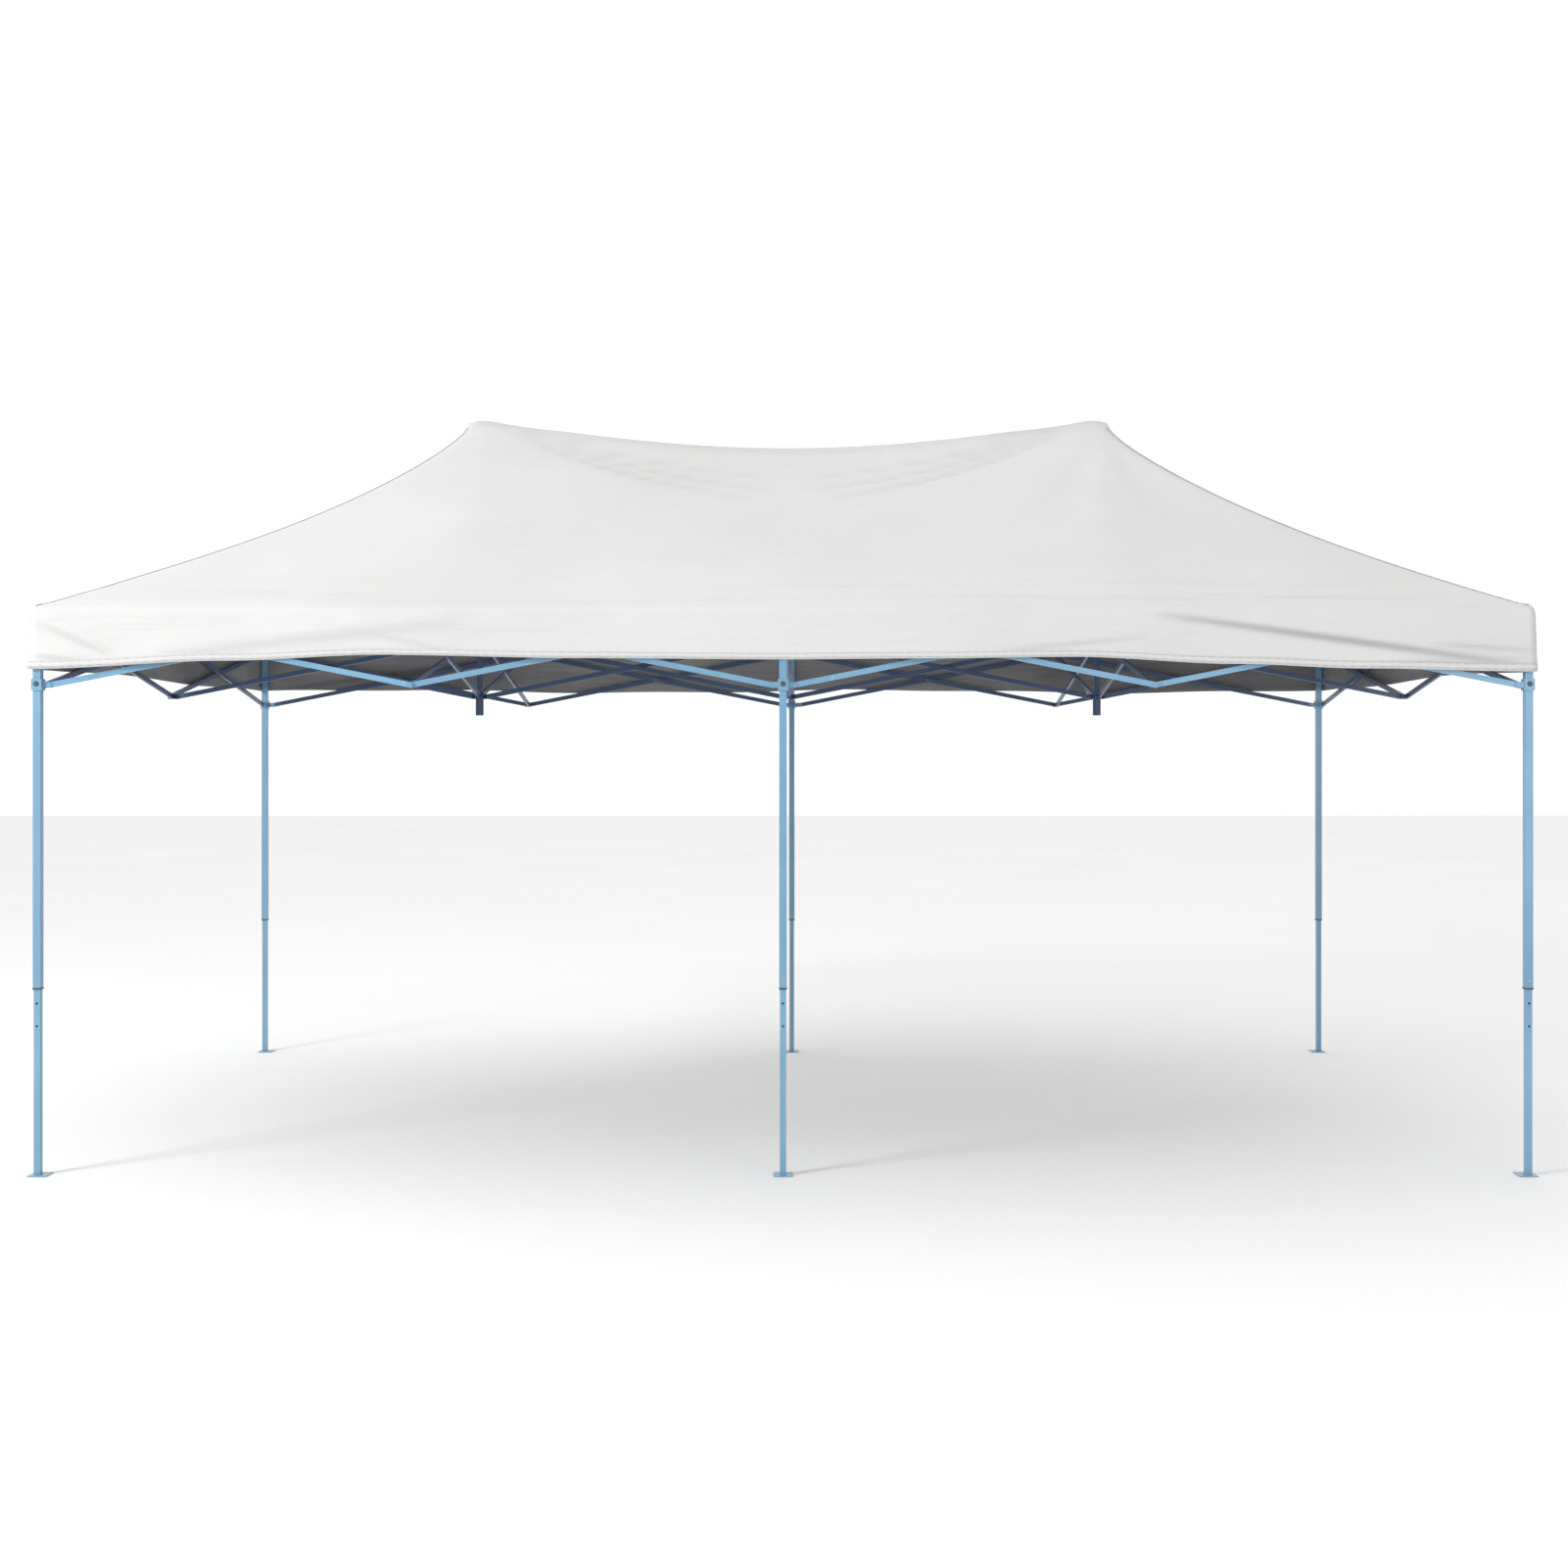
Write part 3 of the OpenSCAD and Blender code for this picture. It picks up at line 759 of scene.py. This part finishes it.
# The upper hub rings slide on the poles, and the lower hubs' forks along X belong to the poles.
RING_INNER, RING_OUTER, RING_HALF = 0.0178, 0.0195, 0.016
# The hubs take the darker copy of the paint: painted shade.
for side, label in ((-1, "left"), (1, "right")):
    ring = ring_part(-RING_HALF, RING_INNER, RING_OUTER, 2 * RING_HALF, 40)
    upright = ([(-z, y, x) for x, y, z in ring[0]], ring[1])
    arms = [part for k in range(4) for part in fork_parts(RING_OUTER - 0.001, HUB_EAR, -1, k * QUARTER)]
    hub = placed(f"upper_hub_{label}", [upright] + arms, SHADE_PAINT, (side * POLE_X, 0, UPPER_Z))
    rigid_follow(hub, side / 2, 0.0, 0.0)
    arms = [part for k in (0, 2) for part in fork_parts(0.0133, HUB_EAR, 1, k * QUARTER)]
    lower = placed(f"lower_hub_forks_{label}", arms, SHADE_PAINT, (side * POLE_X, 0, LOWER_Z))
    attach(lower, POLES[side])

# The inner row of scissor pairs along the length, in each half bay
INNER_RUN = POLE_X - HUB_EAR - BRACKET_EAR
INNER_LENGTH = math.hypot(INNER_RUN, UPPER_Z - LOWER_Z)
INNER_ANGLE = math.atan2(UPPER_Z - LOWER_Z, INNER_RUN)


def bar_parts(falling):
    """A bar along X with chamfered ends, its middle pin and rivet, tilted to its rest angle."""
    half = INNER_LENGTH / 2
    tip, shoulder = (half + BAR_HIGH / 2, BAR_HIGH / 4), (half + BAR_HIGH / 4, BAR_HIGH / 2)
    outline = [(-tip[0], -tip[1]), (-shoulder[0], -shoulder[1]),
               (shoulder[0], -shoulder[1]), (tip[0], -tip[1]),
               tip, shoulder, (-shoulder[0], shoulder[1]), (-tip[0], tip[1])]
    y = -BAR_SIDE if falling else BAR_SIDE
    n = len(outline)
    points = [(a, y + s * BAR_THICK / 2, b) for s in (-1, 1) for a, b in outline]
    faces = [tuple(range(n)), tuple(reversed(range(n, 2 * n)))]
    faces += [(k, n + k, n + (k + 1) % n, (k + 1) % n) for k in range(n)]
    parts = [(points, faces)]
    if falling:
        parts.append(round_mesh((0, -STACK - HEAD_HIGH, 0), "y", PIN_RADIUS, 2 * (STACK + HEAD_HIGH), 20))
        for start in (-STACK - HEAD_HIGH, STACK):
            parts.append(round_mesh((0, start, 0), "y", HEAD_RADIUS, HEAD_HIGH, 20))
    angle = INNER_ANGLE if falling else -INNER_ANGLE
    c, s = math.cos(angle), math.sin(angle)
    return [([(c * a + s * b, y, -s * a + c * b) for a, y, b in p], f) for p, f in parts]


# The inner bars take the darker copy of the paint: painted shade.
for k in range(4):
    middle = (k - 1.5) * POLE_X
    for kind in ("falling", "rising"):
        bar = placed(f"inner_truss_{k + 1}_{kind}_bar", bar_parts(kind == "falling"), SHADE_PAINT,
                     (middle, 0, MID_Z))
        rigid_follow(bar, middle / BAY_X, 0.0, 0.5, f"front_truss_{k + 1}_{kind}_bar")

# ---------------------------------------------------------------- small parts that ride on CAD bodies
RIVET_RADIUS, RIVET_HIGH = 0.0048, 0.0011


def dome_parts(centre, axis, outward, rings=4, sides=20):
    """A low domed rivet head on a face, standing out along the axis."""
    points, faces = [], []
    for ring in range(rings):
        angle = QUARTER * ring / rings
        radius = RIVET_RADIUS * math.cos(angle)
        for k in range(sides):
            a = TAU * k / sides
            flat = (radius * math.cos(a), radius * math.sin(a))
            up = outward * RIVET_HIGH * math.sin(angle)
            offset = (up, flat[0], flat[1]) if axis == "x" else (flat[0], up, flat[1])
            points.append(tuple(c + o for c, o in zip(centre, offset)))
    tip = (outward * RIVET_HIGH, 0, 0) if axis == "x" else (0, outward * RIVET_HIGH, 0)
    points.append(tuple(c + o for c, o in zip(centre, tip)))
    for ring in range(rings - 1):
        for k in range(sides):
            n = (k + 1) % sides
            lower, upper = ring * sides, (ring + 1) * sides
            faces.append((lower + k, lower + n, upper + n, upper + k))
    last = (rings - 1) * sides
    faces += [(last + k, last + (k + 1) % sides, len(points) - 1) for k in range(sides)]
    faces.append(tuple(reversed(range(sides))))
    return points, faces


def rivets(name, body, places, axis):
    """Zinc heads at each place, on both faces of the stack."""
    face = STACK - 0.0003 + HEAD_HIGH
    parts = []
    for x, y, z in places:
        for outward in (-1, 1):
            shift = outward * (face + (0.0006 if outward > 0 else 0.0))
            at = (x + shift, y, z) if axis == "x" else (x, y + shift, z)
            parts.append(dome_parts(at, axis, outward))
    obj = placed(name, parts, ZINC, edge=0, smooth=True)
    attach(obj, body)


for row, label in ((-1, "front"), (1, "back")):
    for k in range(4):
        middle = (k - 1.5) * POLE_X + (1 if k % 2 == 0 else -1) * LEG_EAR / 2
        rivets(f"rivets_{label}_truss_{k + 1}", f"{label}_truss_{k + 1}_falling_bar",
               [(middle, row * ROW_Y, MID_Z)], "y")
COLUMNS = ("left_end", "left_cross", "centre", "right_cross", "right_end")
for c, label in zip(range(-2, 3), COLUMNS):
    for half, half_label in ((-1, "front"), (1, "back")):
        offset = HUB_EAR if abs(c) == 1 else 0.0
        middle = half * (offset + (POLE_X - LEG_EAR) / 2)
        rivets(f"rivets_{label}_truss_{half_label}", f"{label}_truss_{half_label}_falling_bar",
               [(c * POLE_X, middle, MID_Z)], "x")

LEGS = {f"{'front' if j < 0 else 'back'}_{label}": (i * BAY_X, j * ROW_Y, j)
        for j in (-1, 1) for i, label in ((-1, "left"), (0, "centre"), (1, "right"))}


def square_ring(inner, outer, z0, z1):
    points, faces = [], []
    for half, z in ((outer, z0), (outer, z1), (inner, z1), (inner, z0)):
        points += [(-half, -half, z), (half, -half, z), (half, half, z), (-half, half, z)]
    for ring in range(4):
        for k in range(4):
            n, after = (k + 1) % 4, (ring + 1) % 4
            faces.append((4 * ring + k, 4 * ring + n, 4 * after + n, 4 * after + k))
    return points, faces


WINDOW_Z = OUTER_LEG_END + 0.028
SLIDER_HALF = 0.020
BUTTON_BACK, BUTTON_FACE = 0.0139, 0.0152          # flush, so the folded slider passes over it
BUTTON_RADIUS = 0.0042
KNOB_RADIUS, KNOB_HIGH = 0.0075, 0.005
RIM_RADIUS, RIM_HIGH = 0.0105, 0.002               # the raised rim round a slider's button
KNOB_UP = 0.004


def outward_rod(j, near, far, z, radius, sides):
    """A rod along Y between two distances from a leg's middle, on its outer side."""
    return round_mesh((0, min(j * near, j * far), z), "y", radius, far - near, sides)


for label, (x, y, j) in LEGS.items():
    # The collar stays under the leg's end, because the folded slider comes down to it
    collar = placed(f"leg_collar_{label}", [square_ring(0.0127, LEG_HALF + 0.0012, -0.0072, -0.0003)],
                    PLASTIC, (x, y, OUTER_LEG_END), edge=0.0004)
    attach(collar, f"outer_leg_{label}")
    button = placed(f"leg_button_{label}", [outward_rod(j, BUTTON_BACK, BUTTON_FACE, 0, BUTTON_RADIUS, 28)],
                    ZINC, (x, y, WINDOW_Z), edge=0.0004)
    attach(button, f"outer_leg_{label}")
    knob_parts = [outward_rod(j, SLIDER_HALF, SLIDER_HALF + KNOB_HIGH, KNOB_UP, KNOB_RADIUS, 32),
                  outward_rod(j, SLIDER_HALF, SLIDER_HALF + RIM_HIGH, KNOB_UP, RIM_RADIUS, 32)]
    knob = placed(f"slider_button_{label}", knob_parts, PLASTIC, (x, y, LOWER_Z), edge=0.0005)
    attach(knob, f"slider_{label}")

# ---------------------------------------------------------------- floor, light and camera
FLOOR_HALF, FLOOR_Z = 40, -0.001
floor_corners = [(FLOOR_HALF * a, FLOOR_HALF * b, FLOOR_Z) for a, b in ((-1, -1), (1, -1), (1, 1), (-1, 1))]
floor = mesh_object("floor", floor_corners, [(0, 1, 2, 3)], smooth=False)
floor_material, nodes, links, shader = new_material("pale_floor")
floor_tone = ramp(nodes, links, noise(nodes, links, 0.4, 4.0),
                  [(0.2, (0.86, 0.86, 0.86)), (0.8, (0.89, 0.89, 0.89))])
links.new(floor_tone, shader.inputs["Base Color"])
shader.inputs["Roughness"].default_value = 0.9
floor.data.materials.append(floor_material)


def area_light(name, place, target, size, power):
    data = bpy.data.lights.new(name, "AREA")
    data.size = size
    data.energy = power
    obj = bpy.data.objects.new(name, data)
    obj.location = place
    obj.rotation_euler = (Vector(target) - Vector(place)).to_track_quat("-Z", "Y").to_euler()
    bpy.context.scene.collection.objects.link(obj)


area_light("key", (-8.5, -7.0, 6.0), (0.5, 0, 1.8), 2.2, 620)
area_light("fill", (5.0, -9.5, 2.4), (0, 0, 1.8), 3.0, 120)

# The studio is brighter above and behind the canopy than in front of it
SKY_MEAN, SKY_SLOPE = 0.80, (-0.10, 0.28, 0.30)
world = bpy.data.worlds.new("studio")
world.use_nodes = True
background = world.node_tree.nodes["Background"]
direction = world.node_tree.nodes.new("ShaderNodeTexCoord")
softbox = world.node_tree.nodes.new("ShaderNodeVectorMath")
softbox.operation = "DOT_PRODUCT"
softbox.inputs[1].default_value = SKY_SLOPE
world.node_tree.links.new(direction.outputs["Generated"], softbox.inputs[0])
lift = world.node_tree.nodes.new("ShaderNodeMath")
lift.operation = "ADD"
lift.inputs[1].default_value = SKY_MEAN
world.node_tree.links.new(softbox.outputs["Value"], lift.inputs[0])
world.node_tree.links.new(lift.outputs[0], background.inputs["Strength"])
background.inputs["Color"].default_value = (1, 1, 1, 1)
bpy.context.scene.world = world
bpy.context.scene.view_settings.view_transform = "Standard"

camera_data = bpy.data.cameras.new("camera")
camera_data.lens, camera_data.sensor_width = 41.8, 36.0
camera_data.shift_x, camera_data.shift_y = -0.0184, -0.0197
camera = bpy.data.objects.new("camera", camera_data)
camera.location = (0.118, -8.704, 1.67)
camera.rotation_euler = (math.pi / 2, 0, 0)
bpy.context.scene.collection.objects.link(camera)
bpy.context.scene.camera = camera
